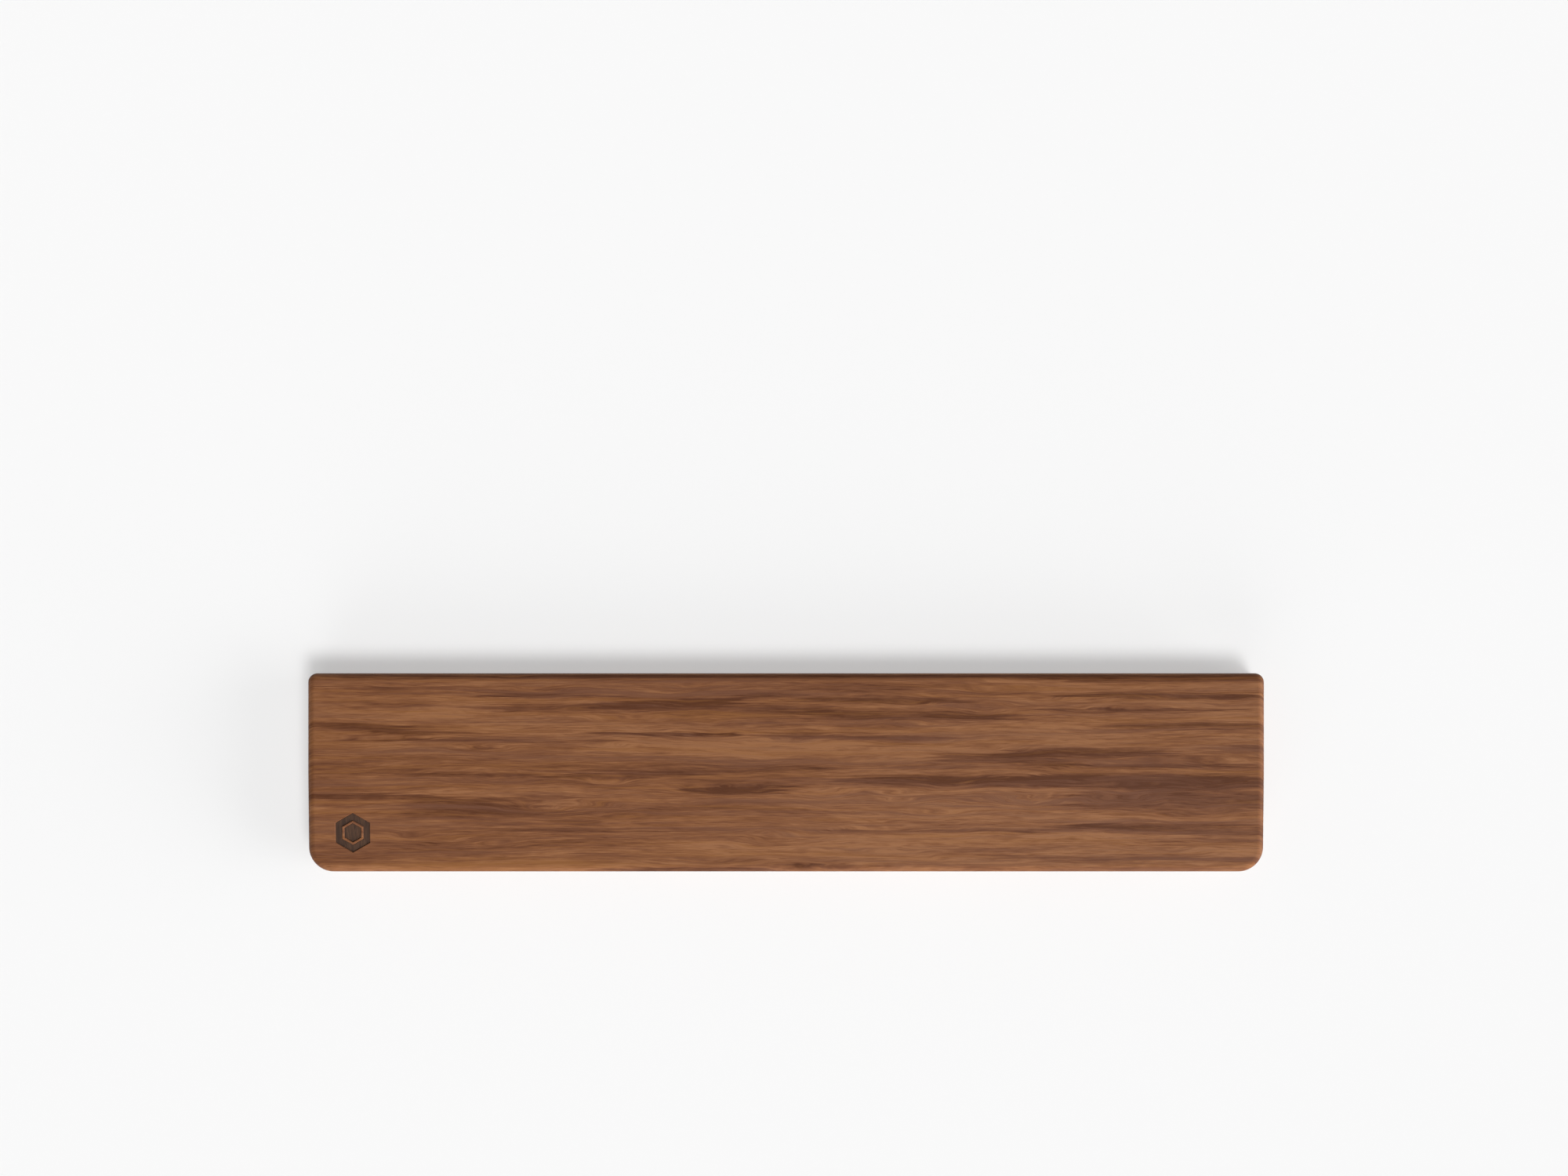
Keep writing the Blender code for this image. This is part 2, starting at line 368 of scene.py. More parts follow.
# Streaks of the figure, listed one by one: from x, to x, y at each end, width of the far and the near
# flank, and how much darker the wood is (below zero: lighter).
# most are the wood's figure; the one along the whole back edge is painted shade
STREAKS = [
    # left quarter
    (-192, -128, 34.0, 33.8, 0.5, 0.8, 0.24),
    (-135, -70, 33.6, 33.0, 2.0, 1.8, 0.20),
    (-125, -60, 31.2, 30.6, 0.8, 0.5, 0.40),
    (-168, -138, 27.0, 27.2, 0.9, 1.0, 0.17),
    (-128, -56, 26.2, 26.0, 1.6, 1.8, 0.30),
    (-197, -146, 20.0, 17.0, 1.4, 1.6, 0.31),
    (-158, -126, 16.0, 16.2, 0.8, 0.8, 0.28),
    (-174, -90, 13.6, 13.3, 0.5, 0.7, 0.34),
    (-168, -126, 11.4, 11.4, 1.2, 1.2, -0.08),
    (-132, -117, 9.6, 9.6, 0.7, 0.9, 0.16),
    (-174, -90, -0.6, -0.6, 0.5, 0.7, 0.20),
    (-197, -134, -8.6, -9.0, 1.0, 1.5, 0.40),
    (-160, -90, -13.0, -14.0, 4.0, 3.8, 0.27),
    (-143, -110, -10.6, -11.2, 1.6, 1.8, 0.16),
    (-122, -82, -9.0, -9.3, 0.8, 1.2, 0.20),
    (-188, -160, -12.7, -12.7, 1.0, 1.0, 0.15),
    (-126, -43, -21.6, -22.2, 0.7, 0.8, 0.27),
    (-164, -125, -28.0, -27.6, 0.8, 0.9, 0.15),
    # second quarter
    (-98, -66, 33.5, 33.5, 0.8, 0.8, 0.18),
    (-80, -16, 26.6, 28.4, 1.9, 2.2, 0.42),
    (-36, 8, 28.8, 32.2, 1.0, 1.3, 0.26),
    (-38, 22, 25.4, 25.0, 2.2, 2.2, 0.25),
    (-86, -6, 15.8, 15.5, 0.5, 0.9, 0.46),
    (-98, -72, 13.1, 13.1, 0.6, 0.6, 0.22),
    (-96, 2, 9.4, 8.8, 2.6, 2.8, -0.07),
    (-92, -30, -0.8, 0.0, 1.5, 1.7, 0.34),
    (-46, 18, 1.7, 2.3, 1.5, 1.7, 0.24),
    (-44, 4, -5.9, -5.3, 1.7, 2.2, 0.34),
    (-72, 6, -13.6, -13.8, 0.5, 0.5, 0.12),
    (-98, -70, -18.7, -18.7, 0.7, 0.7, 0.19),
    (-84, -58, -31.0, -31.0, 0.6, 0.7, 0.16),
    (-86, 6, -37.0, -37.2, 0.8, 1.0, 0.30),
    # third quarter
    (-4, 74, 29.6, 28.6, 1.3, 1.5, 0.34),
    (-6, 106, 24.2, 22.6, 1.8, 1.8, 0.32),
    (40, 92, 22.0, 22.0, 0.9, 0.9, 0.16),
    (-18, 68, 15.8, 14.6, 0.5, 2.2, 0.38),
    (28, 54, 11.6, 11.6, 0.8, 0.8, 0.18),
    (52, 112, 6.2, 6.4, 2.0, 1.9, 0.30),
    (2, 28, 1.8, 1.8, 0.7, 0.8, 0.20),
    (22, 116, -2.4, -3.2, 2.1, 2.4, 0.40),
    (10, 102, -22.0, -22.3, 0.6, 0.8, 0.26),
    (-4, 42, -35.8, -35.8, 0.7, 0.9, 0.24),
    (34, 100, -29.6, -30.2, 0.6, 0.6, 0.13),
    # right quarter
    (102, 146, 37.6, 37.2, 0.8, 1.0, 0.20),
    (142, 198, 37.4, 37.2, 0.9, 1.1, 0.22),
    (110, 198, 31.2, 30.4, 1.3, 1.5, 0.36),
    (92, 198, 25.4, 25.2, 0.6, 0.7, 0.30),
    (122, 202, 19.2, 19.0, 1.2, 1.6, 0.30),
    (170, 202, 10.6, 10.4, 0.9, 0.9, 0.24),
    (82, 154, 7.8, 8.4, 1.9, 1.7, 0.34),
    (92, 198, 3.2, 3.0, 0.6, 0.6, 0.28),
    (84, 204, -2.4, -3.2, 2.4, 3.2, 0.46),
    (106, 208, -9.6, -10.8, 5.0, 4.9, 0.36),
    (84, 134, -23.2, -19.6, 0.9, 1.2, 0.30),
    (112, 206, -20.2, -22.4, 2.0, 2.3, 0.34),
    (80, 164, -32.4, -33.0, 1.0, 1.3, 0.22),
    (168, 196, -33.0, -33.2, 1.2, 1.2, 0.22),
    # painted shade: the first streak darkens the whole back edge where shade falls; behind it,
    # streaks of the figure on the back face
    (-205, 205, 39.2, 39.4, 0.9, 1.0, 0.42),
    (-170, 30, 43.6, 44.8, 1.1, 1.6, 0.30),
    (-50, 205, 50.2, 49.0, 1.6, 2.1, 0.34),
    (-205, -50, 53.2, 54.0, 2.0, 1.6, 0.28),
]

# Small eyes that the fibres swing around: x, y, half length, half width, lift.
EYES = [
    (-22, -6.6, 21, 2.0, 2.9),
    (-97, -13.4, 15, 2.2, 3.1),
    (-71, -3.4, 11, 1.7, 2.4),
    (-121, 9.6, 13, 1.6, 2.0),
    (-150, -24.5, 8, 1.5, 1.6),
    (47, -11.2, 9, 1.5, 1.9),
    (84, 8.8, 17, 1.8, 2.2),
    (98, -11.4, 13, 2.2, 3.2),
    (134, -10.8, 15, 2.4, 2.8),
]


def ring_coordinate(w, y, z):
    """Where the ring through (y, z) meets the flat top, so the figure runs through the solid."""
    dy = w.minus(y, PITH_Y)
    dz = w.minus(z, PITH_Z)
    squares = w.plus(w.times(dy, dy), w.times(dz, dz))
    top_square = (TOP * MM_PER_M - PITH_Z) ** 2
    radius = w.math("SQRT", w.math("MAXIMUM", w.minus(squares, top_square), 0.0))
    return w.minus(PITH_Y, radius)


def make_group(name, inputs, output):
    """A node group of float sockets, its wires and its input values."""
    group = bpy.data.node_groups.new(name, "ShaderNodeTree")
    for socket in inputs:
        group.interface.new_socket(socket, in_out="INPUT", socket_type="NodeSocketFloat")
    group.interface.new_socket(output, in_out="OUTPUT", socket_type="NodeSocketFloat")
    w = Wires(group)
    return group, w, w.add("NodeGroupInput").outputs


def streak_group():
    """One streak: the darkness so far in, the darkness with this streak added out."""
    group, w, given = make_group("streak", (
        "Dark", "Along", "Across", "X", "Y", "Half length", "Lean",
        "Far width", "Near width", "Depth",
    ), "Dark")
    reach = w.math("DIVIDE", w.minus(given["Along"], given["X"]), given["Half length"])
    centre = w.plus(given["Y"], w.times(reach, given["Lean"]))
    off = w.minus(given["Across"], centre)
    inside = w.math("SUBTRACT", 1.0, w.times(reach, reach), clamp=True)
    is_far = w.math("GREATER_THAN", off, 0.0)
    wider = w.minus(given["Far width"], given["Near width"])
    width = w.plus(given["Near width"], w.times(is_far, wider))
    width = w.times(width, w.plus(w.math("SQRT", inside), STREAK_END_WIDTH))
    ratio = w.math("ABSOLUTE", w.math("DIVIDE", off, width))
    flank = w.math("EXPONENT", w.times(w.math("POWER", ratio, STREAK_FLANK_POWER), -1.0))
    fade = w.math("SMOOTH_MIN", w.times(inside, STREAK_END_FADE), 1.0, STREAK_FADE_BLEND)
    out = w.add("NodeGroupOutput")
    added = w.times(w.times(flank, fade), given["Depth"])
    w.feed(out.inputs["Dark"], w.plus(given["Dark"], added))
    return group


def eye_group():
    """One eye: the lift of the fibres so far in, the lift with this eye added out."""
    group, w, given = make_group("eye", (
        "Lift", "Along", "Across", "X", "Y", "Half length", "Half width", "Height",
    ), "Lift")
    far = w.math("DIVIDE", w.minus(given["Along"], given["X"]), given["Half length"])
    off = w.math("DIVIDE", w.minus(given["Across"], given["Y"]), given["Half width"])
    swell = w.math("EXPONENT", w.times(w.plus(w.times(far, far), w.times(off, off)), -1.0))
    out = w.add("NodeGroupOutput")
    w.feed(out.inputs["Lift"], w.plus(given["Lift"], w.times(swell, given["Height"])))
    return group


def add_streaks(w, along, across):
    """How dark the listed streaks make the wood, before the fibres break them up."""
    group = streak_group()
    dark = 0.0
    for left, right, y_left, y_right, far, near, depth in STREAKS:
        dark = w.add("ShaderNodeGroup", {
            "Dark": dark, "Along": along, "Across": across,
            "X": (left + right) / 2, "Y": (y_left + y_right) / 2,
            "Half length": (right - left) / 2, "Lean": (y_right - y_left) / 2,
            "Far width": far, "Near width": near, "Depth": depth,
        }, node_tree=group).outputs[0]
    return dark


def add_eyes(w, along, across):
    """How far the listed eyes push the fibres aside."""
    group = eye_group()
    lift = 0.0
    for x, y, half_length, half_width, height in EYES:
        lift = w.add("ShaderNodeGroup", {
            "Lift": lift, "Along": along, "Across": across, "X": x, "Y": y,
            "Half length": half_length, "Half width": half_width, "Height": height,
        }, node_tree=group).outputs[0]
    return lift


def walnut_material():
    """Oiled walnut. Every pattern is solid: it runs through the block along the growth rings."""
    material, w, shader = new_material("walnut")
    x, y, z = w.split(w.place_in_mm())
    u = ring_coordinate(w, y, z)

    def grain(layer, across=u):
        return w.grain(layer, x, across, z)

    # fibres: slow waves, swirls in restless places, and the swing round the eyes
    ripple = grain(RIPPLE)
    swirl = w.times(grain(SWIRL), w.fit(grain(RESTLESS), *RESTLESS_RANGE))
    lift = add_eyes(w, x, u)
    curl = w.times(lift, grain(CURL))
    bent = w.total(u, grain(SWAY), ripple, swirl, lift, curl)
    fibres = grain(FIBRES, bent)
    hairs = grain(HAIRS, bent)

    # streaks, with ragged ends, feathered flanks and smoky insides
    waver = w.total(
        u, grain(FEATHER, bent), w.times(ripple, STREAK_RIPPLE), w.times(lift, STREAK_LIFT)
    )
    dark = add_streaks(w, w.plus(x, grain(RAGGED)), waver)
    smoke = grain(SMOKE, w.plus(bent, w.times(x, SMOKE_SLANT)))
    broken = w.total(STREAK_GAIN, w.times(fibres, STREAK_FIBRES), smoke)
    dark = w.times(dark, w.math("MAXIMUM", broken, STREAK_LEAST))

    tone = w.total(w.minus(BASE_TONE, dark), w.times(fibres, FIBRE_CONTRAST), hairs)
    tone = w.total(tone, grain(MOTTLE, bent), grain(BANDS, bent))
    pores = w.fit(grain(PORES, bent), *PORE_RANGE)
    tone = w.minus(tone, w.times(pores, PORE_DARKNESS))

    # end grain soaks up more oil
    facing = w.split(w.add("ShaderNodeNewGeometry").outputs["Normal"])[0]
    end = w.fit(w.math("ABSOLUTE", facing), *END_FACING)
    dots = w.fit(grain(END_PORES), *END_PORE_RANGE)
    end_change = w.total(grain(END_RINGS), w.times(dots, -END_PORE_DARKNESS), -END_DARKNESS)
    tone = w.plus(tone, w.times(end, end_change))

    colour = w.ramp(tone, [(stop, without_haze(shown)) for stop, shown in TONES])
    drift = grain(DRIFT, bent)
    colour = w.mix(w.fit(drift, *RED_DRIFT), colour, without_haze(RED_WOOD))
    colour = w.mix(w.fit(drift, *YELLOW_DRIFT), colour, without_haze(YELLOW_WOOD))
    w.feed(shader.inputs["Base Color"], colour)

    w.feed(shader.inputs["Roughness"], w.total(
        WALNUT_ROUGHNESS, w.times(fibres, -FIBRE_SHINE), w.times(hairs, -HAIR_SHINE),
        w.times(pores, PORE_MATTNESS), w.times(end, END_MATTNESS),
    ))
    shader.inputs["Specular IOR Level"].default_value = WALNUT_SPECULAR
    shader.inputs["Sheen Weight"].default_value = WALNUT_SHEEN
    shader.inputs["Sheen Roughness"].default_value = WALNUT_SHEEN_ROUGHNESS
    relief = w.minus(w.times(w.plus(hairs, fibres), FIBRE_RELIEF), pores)
    w.feed(shader.inputs["Normal"], w.bump(relief, WALNUT_RELIEF, WALNUT_RELIEF_STRENGTH))
    return material


# ---------------------------------------------------------------- dark wood of the mark
INLAY_TONES = [
    (0.0, srgb(48, 33, 25)),
    (0.5, srgb(73, 51, 38)),
    (1.0, srgb(98, 70, 51)),
]
# its grain runs in y; the sway is the same at all depths
INLAY_SWAY = Layer(1 / 0.12, 1 / 0.08, math.inf, 0.0, 0.5, 2.4)
INLAY_BANDS = Layer(1 / 0.55, 1 / 0.045, 1 / 0.2, 3.0, 0.75, 1.0)
INLAY_HAIRS = Layer(1 / 3.4, 1 / 0.16, 1 / 0.8, 1.0, 0.5, 1.0)
INLAY_PORES = Layer(1 / 4.4, 1 / 0.34, 1 / 1.4, 0.0, 0.5, 1.0)
INLAY_PORE_RANGE = (0.14, 0.27)
INLAY_TONE = 0.5
INLAY_BAND_CONTRAST = 1.7
INLAY_HAIR_CONTRAST = 0.7
INLAY_PORE_DARKNESS = 0.35
INLAY_ROUGHNESS = 0.62
INLAY_BAND_MATTNESS = 0.3
INLAY_SPECULAR = 0.2
INLAY_RELIEF = 0.00004                  # metres
INLAY_RELIEF_STRENGTH = 0.7


def inlay_material():
    """Dark fumed wood with its grain across the block."""
    material, w, shader = new_material("dark_inlay_wood")
    x, y, z = w.split(w.place_in_mm())
    bent = w.plus(x, w.grain(INLAY_SWAY, x, y, z))
    bands = w.grain(INLAY_BANDS, bent, y, z)
    hairs = w.grain(INLAY_HAIRS, bent, y, z)
    pores = w.fit(w.grain(INLAY_PORES, bent, y, z), *INLAY_PORE_RANGE)
    tone = w.total(
        INLAY_TONE, w.times(bands, INLAY_BAND_CONTRAST), w.times(hairs, INLAY_HAIR_CONTRAST),
        w.times(pores, -INLAY_PORE_DARKNESS),
    )
    rough = w.plus(INLAY_ROUGHNESS, w.times(bands, INLAY_BAND_MATTNESS))
    relief = w.bump(w.minus(hairs, pores), INLAY_RELIEF, INLAY_RELIEF_STRENGTH)
    w.feed(shader.inputs["Base Color"], w.ramp(tone, INLAY_TONES))
    w.feed(shader.inputs["Roughness"], rough)
    w.feed(shader.inputs["Normal"], relief)
    shader.inputs["Specular IOR Level"].default_value = INLAY_SPECULAR
    return material


# ---------------------------------------------------------------- rubber and adhesive
CLOUD_RANGE = (-0.25, 0.25)

RUBBER_DARK = srgb(32, 32, 34)
RUBBER_LIGHT = srgb(46, 46, 48)
RUBBER_CLOUD = 0.35                     # cells per millimetre
RUBBER_GRAIN = 5.0
RUBBER_DUST = 3.1
DUST_COLOUR = srgb(118, 110, 100)
DUST_RANGE = (0.14, 0.26)
DUST_COVER = 0.35
RUBBER_ROUGHNESS = 0.80
RUBBER_CLOUD_MATTNESS = 0.25
DUST_MATTNESS = 0.08
RUBBER_SPECULAR = 0.35
RUBBER_RELIEF = 0.00003                 # metres
RUBBER_RELIEF_STRENGTH = 0.8

FILM_DARK = srgb(206, 200, 186)
FILM_LIGHT = srgb(226, 222, 212)
FILM_CLOUD = 0.5                        # cells per millimetre
FILM_BUBBLES = 2.4
BUBBLE_COLOUR = srgb(240, 238, 232)
BUBBLE_RANGE = (0.12, 0.20)
BUBBLE_COVER = 0.5
FILM_ROUGHNESS = 0.42
FILM_CLOUD_MATTNESS = 0.3
BUBBLE_SHINE = 0.15
FILM_RELIEF = 0.00005                   # metres
FILM_RELIEF_STRENGTH = 0.6


def rubber_material():
    """Moulded black rubber: fine matt texture, cloudy, with a little dust."""
    material, w, shader = new_material("foot_rubber")
    place = w.place_in_mm()
    grain = w.specks(place, RUBBER_GRAIN, detail=2.0, roughness=0.6)
    cloud = w.specks(place, RUBBER_CLOUD, detail=3.0, roughness=0.6)
    dust = w.fit(w.specks(place, RUBBER_DUST, detail=2.0), *DUST_RANGE)
    colour = w.mix(w.fit(cloud, *CLOUD_RANGE), RUBBER_DARK, RUBBER_LIGHT)
    colour = w.mix(w.times(dust, DUST_COVER), colour, DUST_COLOUR)
    rough = w.total(
        RUBBER_ROUGHNESS, w.times(cloud, RUBBER_CLOUD_MATTNESS), w.times(dust, DUST_MATTNESS)
    )
    w.feed(shader.inputs["Base Color"], colour)
    w.feed(shader.inputs["Roughness"], rough)
    w.feed(shader.inputs["Normal"], w.bump(grain, RUBBER_RELIEF, RUBBER_RELIEF_STRENGTH))
    shader.inputs["Specular IOR Level"].default_value = RUBBER_SPECULAR
    return material


def adhesive_material():
    """Milky acrylic film with small bubbles pressed into it."""
    material, w, shader = new_material("adhesive")
    place = w.place_in_mm()
    cloud = w.specks(place, FILM_CLOUD, detail=3.0, roughness=0.6)
    bubbles = w.fit(w.specks(place, FILM_BUBBLES), *BUBBLE_RANGE)
    colour = w.mix(w.fit(cloud, *CLOUD_RANGE), FILM_DARK, FILM_LIGHT)
    colour = w.mix(w.times(bubbles, BUBBLE_COVER), colour, BUBBLE_COLOUR)
    rough = w.total(
        FILM_ROUGHNESS, w.times(cloud, FILM_CLOUD_MATTNESS), w.times(bubbles, -BUBBLE_SHINE)
    )
    w.feed(shader.inputs["Base Color"], colour)
    w.feed(shader.inputs["Roughness"], rough)
    w.feed(shader.inputs["Normal"], w.bump(bubbles, FILM_RELIEF, FILM_RELIEF_STRENGTH))
    return material


# ---------------------------------------------------------------- block
def is_vertical(edge):
    a, b = (vert.co for vert in edge.verts)
    return math.hypot(a.x - b.x, a.y - b.y) < TOUCHING


def round_vertical_edges(mesh, side, radius, steps):
    """Round the upright edges at the front (side -1) or at the back (side 1)."""
    edges = [
        edge for edge in mesh.edges
        if is_vertical(edge) and edge.verts[0].co.y * side > HALF_DEPTH - TOUCHING
    ]
    bmesh.ops.bevel(
        mesh, geom=edges, offset=radius, offset_type="OFFSET", segments=steps,
        profile=0.5, affect="EDGES",
    )


def lean_back_face(mesh):
    """Move the head of the back face and its rounded corners out, and the foot in."""
    for vert in mesh.verts:
        if vert.co.y > HALF_DEPTH - BACK_CORNER_R - TOUCHING:
            vert.co.y += BACK_HEAD_OUT if vert.co.z > TOP / 2 else -BACK_FOOT_IN


def slope_top(mesh):
    """Cut the top across along its curved stretch, then lower it towards the front."""
    for step in range(SLOPE_BLEND_STEPS + 1):
        station = SLOPE_START_Y - SLOPE_BLEND * step / SLOPE_BLEND_STEPS
        bmesh.ops.bisect_plane(
            mesh, geom=mesh.verts[:] + mesh.edges[:] + mesh.faces[:],
            plane_co=(0, station, 0), plane_no=(0, 1, 0),
        )
    for vert in mesh.verts:
        if vert.co.z > TOP / 2:
            vert.co.z = TOP - top_drop(vert.co.y)


def weight_rim(mesh, layer_name, side):
    """Mark the edges round the top (side 1) or the bottom (side -1) for a bevel."""
    layer = mesh.edges.layers.float.new(layer_name)
    for edge in mesh.edges:
        level = [face.normal.z * side > RIM_FACING for face in edge.link_faces]
        edge[layer] = 1.0 if any(level) and not all(level) else 0.0


def add_rim_bevel(obj, layer_name, radius, steps):
    bevel = obj.modifiers.new(layer_name, "BEVEL")
    bevel.limit_method = "WEIGHT"
    bevel.edge_weight = layer_name
    bevel.width = radius
    bevel.segments = steps


def object_from(mesh, name):
    data = bpy.data.meshes.new(name)
    mesh.to_mesh(data)
    mesh.free()
    obj = bpy.data.objects.new(name, data)
    bpy.context.scene.collection.objects.link(obj)
    return obj


def bake_modifiers(obj):
    """Replace the object's mesh by what its modifiers make of it."""
    bpy.context.view_layer.update()
    evaluated = obj.evaluated_get(bpy.context.evaluated_depsgraph_get())
    data = bpy.data.meshes.new_from_object(evaluated)
    data.transform(obj.matrix_world)
    data.name = obj.name
    obj.modifiers.clear()
    obj.data = data
    obj.matrix_world.identity()
    obj.location = (0, 0, 0)
    obj.rotation_euler = (0, 0, 0)
    return obj


def turned(profile, name, steps, closed=False):
    """Turn (radius, z) points about the Z axis: an open profile, listed outwards, down and back
    inwards, or a closed one."""
    data = bpy.data.meshes.new(name)
    edges = [(i, i + 1) for i in range(len(profile) - 1)]
    if closed:
        edges.append((len(profile) - 1, 0))
    data.from_pydata([(radius, 0, z) for radius, z in profile], edges, [])
    obj = bpy.data.objects.new(name, data)
    bpy.context.scene.collection.objects.link(obj)
    screw = obj.modifiers.new("turn", "SCREW")
    screw.steps = steps
    screw.render_steps = steps
    screw.use_merge_vertices = True
    screw.merge_threshold = TURN_MERGE
    return obj


def cut(target, cutters):
    for cutter in cutters:
        boolean = target.modifiers.new("cut", "BOOLEAN")
        boolean.operation = "DIFFERENCE"
        boolean.solver = "EXACT"
        boolean.object = cutter
    bake_modifiers(target)
    for cutter in cutters:
        bpy.data.objects.remove(cutter, do_unlink=True)


def put_on_slope(obj):
    """Lay a piece made around z = 0 on the slope at the mark, a point of its hexagon towards +Y."""
    place = Matrix.Translation((MARK_X, MARK_Y, TOP - top_drop(MARK_Y)))
    tilt = Matrix.Rotation(SLOPE_TILT, 4, "X")
    turn = Matrix.Rotation(math.pi / 2, 4, "Z")
    obj.matrix_world = place @ tilt @ turn


def hexagon_radius(apothem):
    return apothem / math.cos(math.pi / HEX)


def pocket_profile(inner, outer):
    """Profile of a pocket cutter between two apothems, its rim flared at the surface."""
    flare = POCKET_RIM + CUTTER_OVER
    sides = [
        (outer + flare, CUTTER_OVER), (outer + POCKET_RIM, 0), (outer, -POCKET_RIM),
        (outer, -MARK_POCKET_DEPTH),
    ]
    if inner > 0:
        sides += [
            (inner, -MARK_POCKET_DEPTH), (inner, -POCKET_RIM), (inner - POCKET_RIM, 0),
            (inner - flare, CUTTER_OVER),
        ]
    else:
        sides = [(0, CUTTER_OVER)] + sides + [(0, -MARK_POCKET_DEPTH)]
    return [(hexagon_radius(apothem), height) for apothem, height in sides]


def block_body():
    """The block with all its roundings, before its pockets and recesses."""
    mesh = bmesh.new()
    bmesh.ops.create_cube(mesh, size=1.0)
    size = (2 * HALF_LENGTH, 2 * HALF_DEPTH, TOP - BOTTOM)
    bmesh.ops.scale(mesh, vec=size, verts=mesh.verts)
    bmesh.ops.translate(mesh, vec=(0, 0, (TOP + BOTTOM) / 2), verts=mesh.verts)
    round_vertical_edges(mesh, -1, FRONT_CORNER_R, FRONT_CORNER_STEPS)
    round_vertical_edges(mesh, 1, BACK_CORNER_R, BACK_CORNER_STEPS)
    lean_back_face(mesh)
    slope_top(mesh)
    mesh.normal_update()
    weight_rim(mesh, "top_rim", 1)
    weight_rim(mesh, "bottom_rim", -1)
    block = object_from(mesh, "walnut_block")
    add_rim_bevel(block, "top_rim", TOP_EDGE_R, TOP_EDGE_STEPS)
    add_rim_bevel(block, "bottom_rim", BOTTOM_EDGE_R, BOTTOM_EDGE_STEPS)
    return bake_modifiers(block)


def mark_cutters():
    """The ring and core pockets of the mark, laid on the slope."""
    ring_profile = pocket_profile(MARK_APOTHEM - MARK_BAND, MARK_APOTHEM)
    cutters = [
        turned(ring_profile, "ring_pocket", HEX, closed=True),
        turned(pocket_profile(0, CORE_APOTHEM), "core_pocket", HEX),
    ]
    for cutter in cutters:
        put_on_slope(cutter)
    return cutters


def recess_cutter(name):
    """The recess of one foot, its mouth chamfered."""
    low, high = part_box(name)
    radius = (high.x - low.x) / 2 + RECESS_CLEARANCE
    top = BOTTOM + FOOT_RECESS_DEPTH
    below = BOTTOM - RECESS_RIM
    profile = [
        (0, top), (radius, top), (radius, BOTTOM + RECESS_RIM), (radius + RECESS_RIM, BOTTOM),
        (radius + 2 * RECESS_RIM, below), (0, below),
    ]
    recess = turned(profile, "recess", ROUND_STEPS)
    recess.location = ((low.x + high.x) / 2, (low.y + high.y) / 2, 0)
    return recess


def block_piece():
    block = block_body()
    cut(block, mark_cutters() + [recess_cutter(name) for name in FOOT_NAMES])
    block.data.shade_smooth()
    block.data.set_sharp_from_angle(angle=SMOOTH_UP_TO)
    weighted = block.modifiers.new("even_shading", "WEIGHTED_NORMAL")
    weighted.keep_sharp = True
    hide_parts("wood_block")
    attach(block, "root")
    return block


# ---------------------------------------------------------------- inlays
def finish_piece(obj, node, material, smooth_up_to):
    """Shade and paint a piece that stands for a CAD node, and let it ride."""
    obj.data.shade_smooth()
    obj.data.set_sharp_from_angle(angle=smooth_up_to)
    paint(obj, material)
    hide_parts(node)
    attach(obj, "root")


def inlay_profile(inner, outer):
    """Profile of an inlay between two apothems: eased upper edges, flat bed below."""
    top = -MARK_SUNK
    bed = INLAY_BED - MARK_POCKET_DEPTH
    points = [(outer - INLAY_EASE, top), (outer, top - INLAY_EASE), (outer, bed)]
    if inner > 0:
        points += [(inner, bed), (inner, top - INLAY_EASE), (inner + INLAY_EASE, top)]
    else:
        points = [(0, top)] + points + [(0, bed)]
    return [(hexagon_radius(apothem), height) for apothem, height in points]


def inlay_pieces(material):
    ring_profile = inlay_profile(MARK_APOTHEM - MARK_BAND + INLAY_FIT, MARK_APOTHEM - INLAY_FIT)
    core_profile = inlay_profile(0, CORE_APOTHEM - INLAY_FIT)
    ring = turned(ring_profile, "inlay_ring", HEX, closed=True)
    core = turned(core_profile, "inlay_core", HEX)
    for inlay, node in ((ring, "mark_inlay_ring"), (core, "mark_inlay_core")):
        put_on_slope(inlay)
        bake_modifiers(inlay)
        finish_piece(inlay, node, material, INLAY_SMOOTH_UP_TO)


# ---------------------------------------------------------------- feet and adhesive
def arc(centre_radius, centre_z, radius, start, end, steps):
    """Points of an arc in a profile, its angles in degrees from the outward direction."""
    points = []
    for step in range(steps + 1):
        angle = math.radians(start + (end - start) * step / steps)
        points.append((centre_radius + radius * math.cos(angle), centre_z + radius * math.sin(angle)))
    return points


def foot_profile(radius, top):
    """Bumper, from the middle of its glued face round to the middle of its sole."""
    lip = radius - FOOT_LIP_R
    sole = radius - FOOT_TAPER - FOOT_EDGE_R
    points = [(0, top)]
    points += arc(lip, top - FOOT_LIP_R, FOOT_LIP_R, 90, FOOT_LIP_END, FOOT_LIP_STEPS)
    points += arc(sole, FOOT_EDGE_R, FOOT_EDGE_R, 0, -90, FOOT_EDGE_STEPS)
    for at in FOOT_GROOVES:
        points += [
            (at + FOOT_GROOVE_WIDTH, 0), (at + FOOT_GROOVE_WIDTH / 2, FOOT_GROOVE_DEPTH),
            (at - FOOT_GROOVE_WIDTH / 2, FOOT_GROOVE_DEPTH), (at - FOOT_GROOVE_WIDTH, 0),
        ]
    points += [(FOOT_GATE_R, 0), (FOOT_GATE_FLOOR_R, FOOT_GROOVE_DEPTH), (0, FOOT_GATE_NIB_DEPTH)]
    return points


def film_profile(radius, low, high):
    """Adhesive disc, its rim squeezed into a bulge."""
    half = (high - low) / 2
    rim = arc(radius - half, low + half, half, 90, -90, FILM_RIM_STEPS)
    return [(0, high)] + rim + [(0, low)]


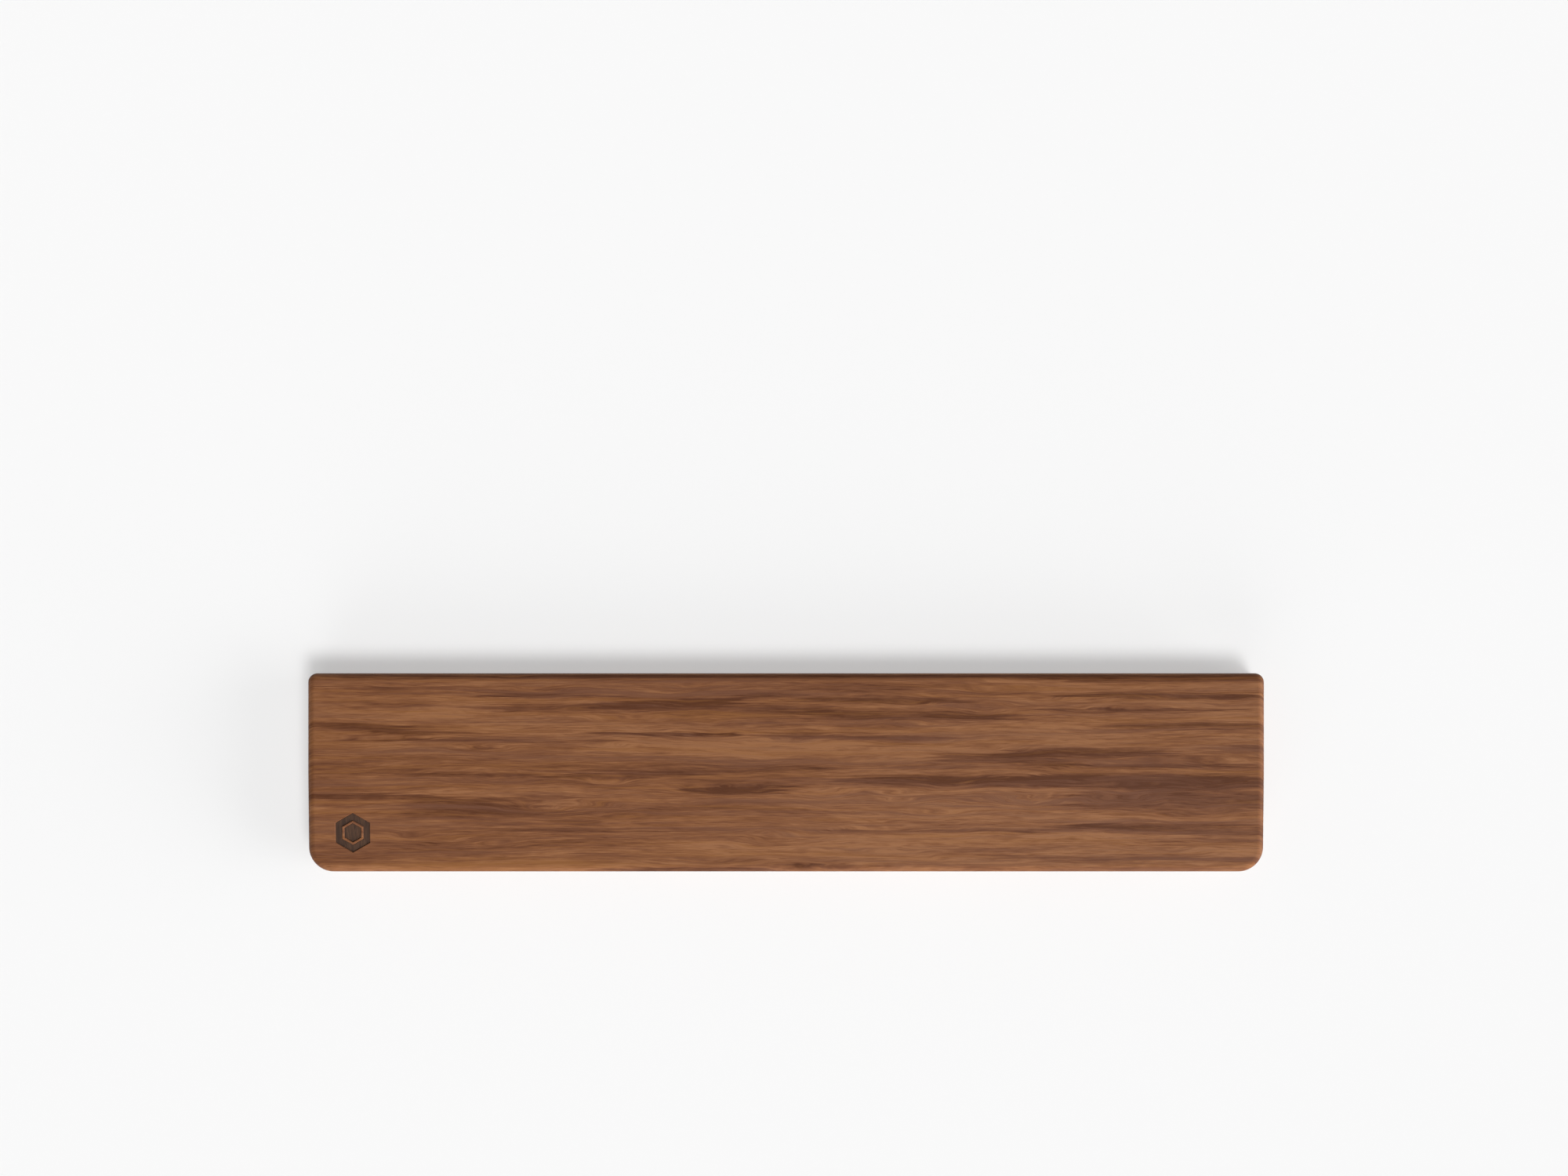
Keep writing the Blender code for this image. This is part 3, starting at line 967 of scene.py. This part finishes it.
def round_piece(profile, name, node, material):
    """A turned piece that stands for a CAD node, on that node's axis."""
    low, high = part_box(node)
    piece = turned(profile, name, ROUND_STEPS)
    piece.location = ((low.x + high.x) / 2, (low.y + high.y) / 2, 0)
    bake_modifiers(piece)
    finish_piece(piece, node, material, FOOT_SMOOTH_UP_TO)


def feet_pieces(rubber, film):
    for foot in FOOT_NAMES:
        low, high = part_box(foot)
        profile = foot_profile((high.x - low.x) / 2, high.z)
        round_piece(profile, foot.replace("foot", "bumper"), foot, rubber)

        disc = foot.replace("foot_", "foot_adhesive_")
        low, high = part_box(disc)
        profile = film_profile((high.x - low.x) / 2, low.z, high.z)
        round_piece(profile, foot.replace("foot", "film"), disc, film)


# ---------------------------------------------------------------- floor, lights, camera
FLOOR_SIZE = 12.0
FLOOR_GREY = 0.50
FLOOR_ROUGHNESS = 0.9
FLOOR_GLOW = 0.45                       # a light table: keeps the shadow beside the object pale
FLOOR_GAP = 0.00002                     # keeps the soles from flickering against the floor
WHITE = (1, 1, 1, 1)

BACKDROP = 0.95                         # even tone of the studio behind the object
DOME_BASE = 0.04
# panels of the dome: direction, degrees from it that are fully lit, degrees where the panel ends,
# and strength
DOME_PANELS = [
    ((0.29, -0.40, 0.95), 5, 15, 18.6),
    ((1.0, -0.20, 0.10), 10, 34, 7.6),
    ((-0.2, -1.0, 0.10), 10, 36, 3.8),
    ((-1.0, 0.1, 0.15), 15, 45, 0.25),
]

CAMERA_AT = (-0.00083, 0.07365, 0.7803)     # looking straight down
CAMERA_LENS = 44                            # millimetres
CAMERA_SENSOR = 36
CAMERA_CLIP = 0.01


def add_floor():
    """A pale floor that is seen from above only, so that the underside can be looked at."""
    bpy.ops.mesh.primitive_plane_add(size=FLOOR_SIZE, location=(0, 0, -FLOOR_GAP))
    floor = bpy.context.object
    floor.name = "floor"
    material, w, shader = new_material("pale_floor")
    shader.inputs["Base Color"].default_value = (FLOOR_GREY, FLOOR_GREY, FLOOR_GREY, 1)
    shader.inputs["Roughness"].default_value = FLOOR_ROUGHNESS
    shader.inputs["Specular IOR Level"].default_value = 0.0
    shader.inputs["Emission Color"].default_value = WHITE
    shader.inputs["Emission Strength"].default_value = FLOOR_GLOW
    from_below = w.add("ShaderNodeNewGeometry").outputs["Backfacing"]
    clear = w.add("ShaderNodeBsdfTransparent").outputs[0]
    one_sided = w.add("ShaderNodeMixShader", {0: from_below, 1: shader.outputs[0], 2: clear})
    w.feed(material.node_tree.nodes["Material Output"].inputs["Surface"], one_sided.outputs[0])
    paint(floor, material)
    floor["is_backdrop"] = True


def panel_light(w, direction, towards, full, ends, strength):
    """What one panel of the dome sends from a direction."""
    aim = tuple(Vector(towards).normalized())
    facing = w.add("ShaderNodeVectorMath", {0: direction, 1: aim}, operation="DOT_PRODUCT")
    start = math.cos(math.radians(ends))
    return w.fit(facing.outputs["Value"], start, math.cos(math.radians(full)), 0.0, strength)


def add_world():
    """A soft studio dome of broad panels over an even base, in front of a plain pale backdrop."""
    world = bpy.data.worlds.new("studio")
    world.use_nodes = True
    w = Wires(world.node_tree)
    direction = w.add("ShaderNodeTexCoord").outputs["Generated"]
    light = w.total(DOME_BASE, *(panel_light(w, direction, *panel) for panel in DOME_PANELS))
    seen = w.add("ShaderNodeLightPath").outputs["Is Camera Ray"]
    light = w.plus(light, w.times(seen, w.minus(BACKDROP, light)))
    background = world.node_tree.nodes["Background"]
    w.feed(background.inputs["Strength"], light)
    background.inputs["Color"].default_value = WHITE
    bpy.context.scene.world = world


def add_camera():
    data = bpy.data.cameras.new("camera")
    data.lens = CAMERA_LENS
    data.sensor_width = CAMERA_SENSOR
    data.clip_start = CAMERA_CLIP
    camera = bpy.data.objects.new("camera", data)
    camera.location = CAMERA_AT
    bpy.context.scene.collection.objects.link(camera)
    bpy.context.scene.camera = camera


add_camera()
add_world()
add_floor()
paint(block_piece(), walnut_material())
inlay_pieces(inlay_material())
feet_pieces(rubber_material(), adhesive_material())
bpy.context.scene.view_settings.view_transform = "Standard"
